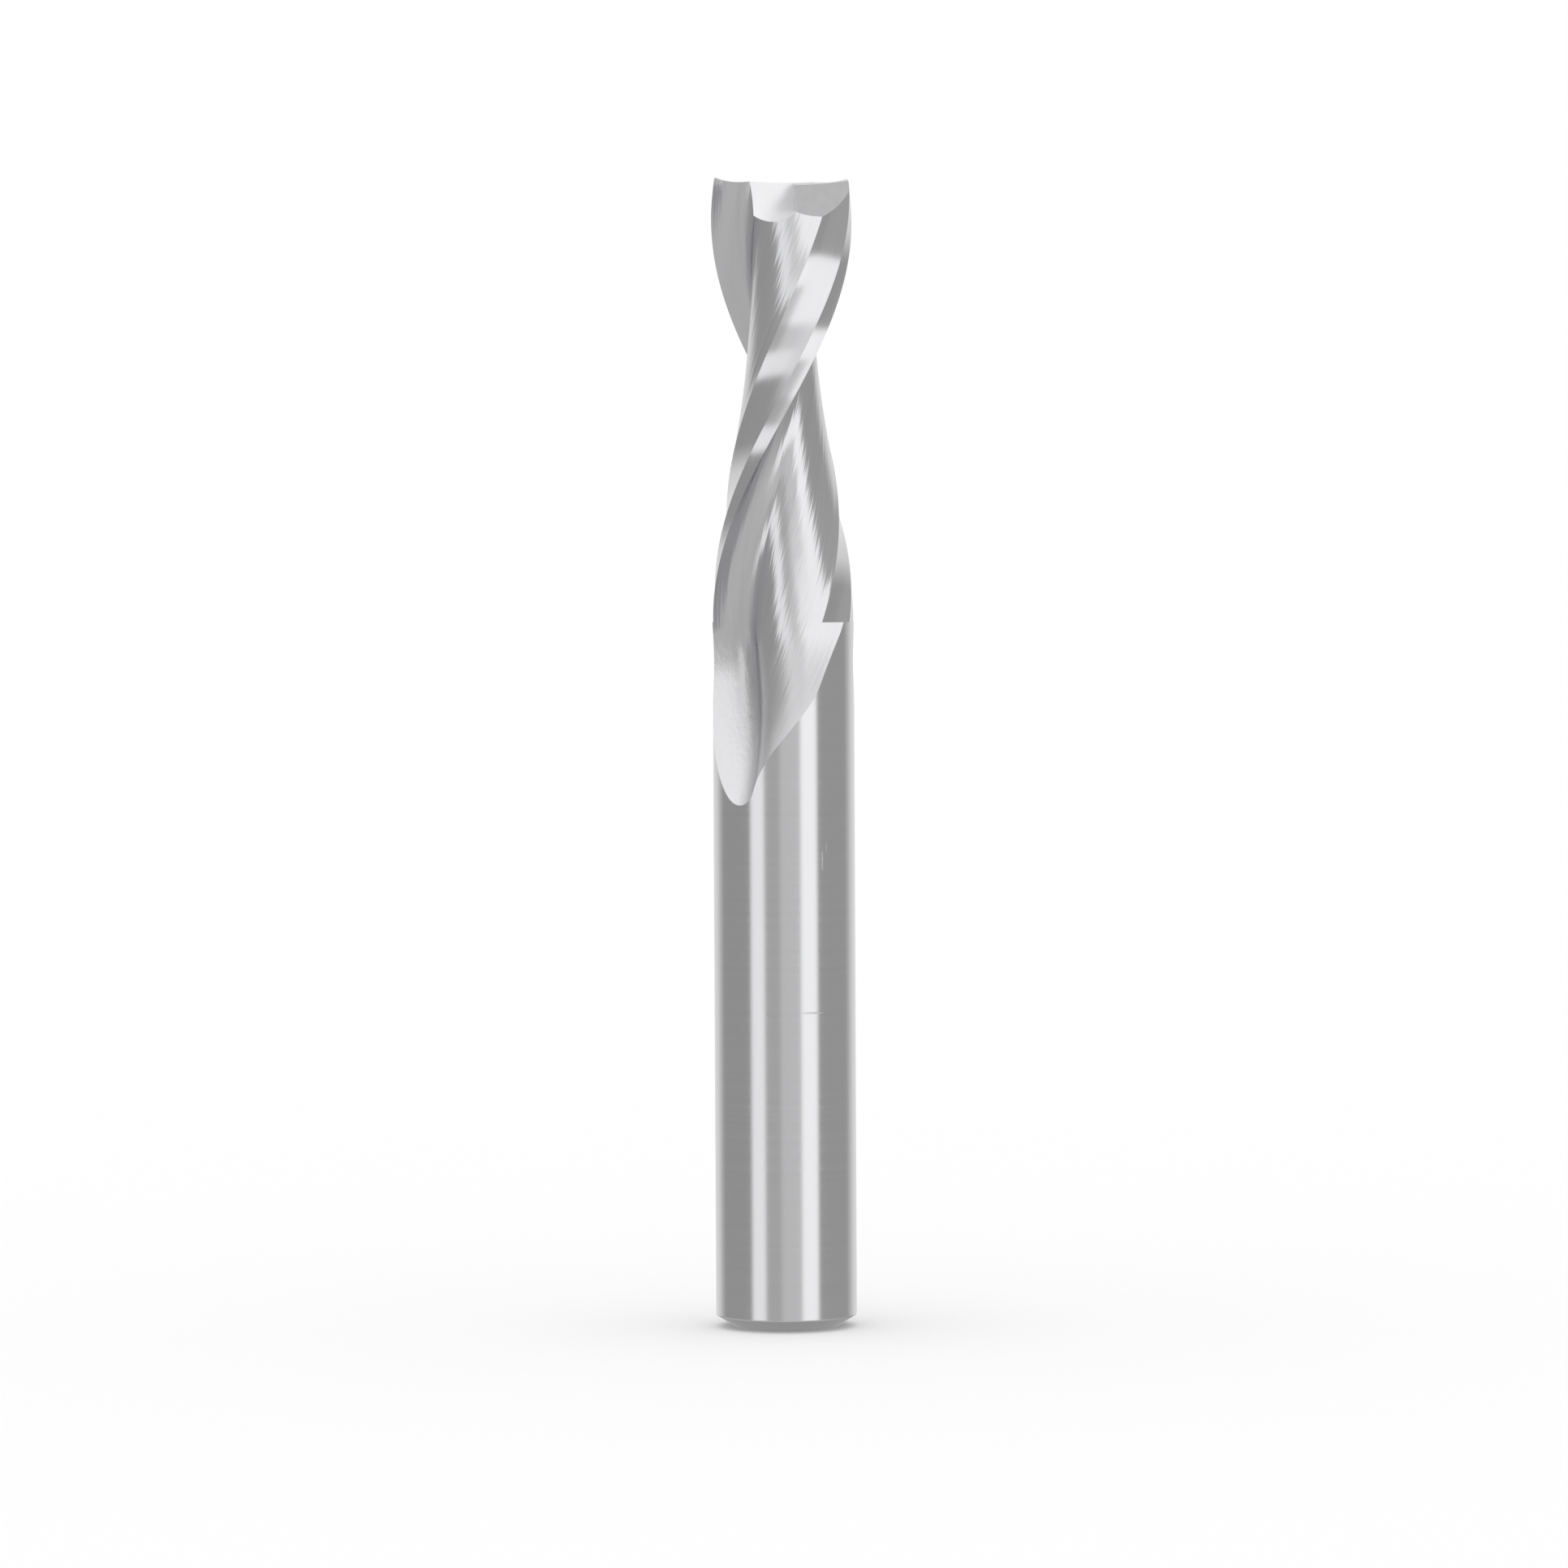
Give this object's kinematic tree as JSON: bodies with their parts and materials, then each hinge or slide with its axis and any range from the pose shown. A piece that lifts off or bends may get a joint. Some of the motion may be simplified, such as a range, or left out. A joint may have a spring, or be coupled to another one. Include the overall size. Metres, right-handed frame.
{
  "type": "spiral router bit",
  "caption": "Right-hand up-cut spiral router bit with helical flutes that run out into a plain round shank, and a fishtail end.",
  "frame": {"origin": "centre of the shank's flat end, which the bit stands on", "axes": "+Z along the bit's axis from the shank end to the cutting tip; +X to the right as the picture shows it"},
  "size_m": [0.0096, 0.0096, 0.0775],
  "materials": {
    "ground_carbide": "bright ground tungsten carbide, cylindrical grinding on the shank and wheel marks in the flutes"
  },
  "bodies": {
    "root": {"router_bit": "ground_carbide"}
  },
  "joints": []
}
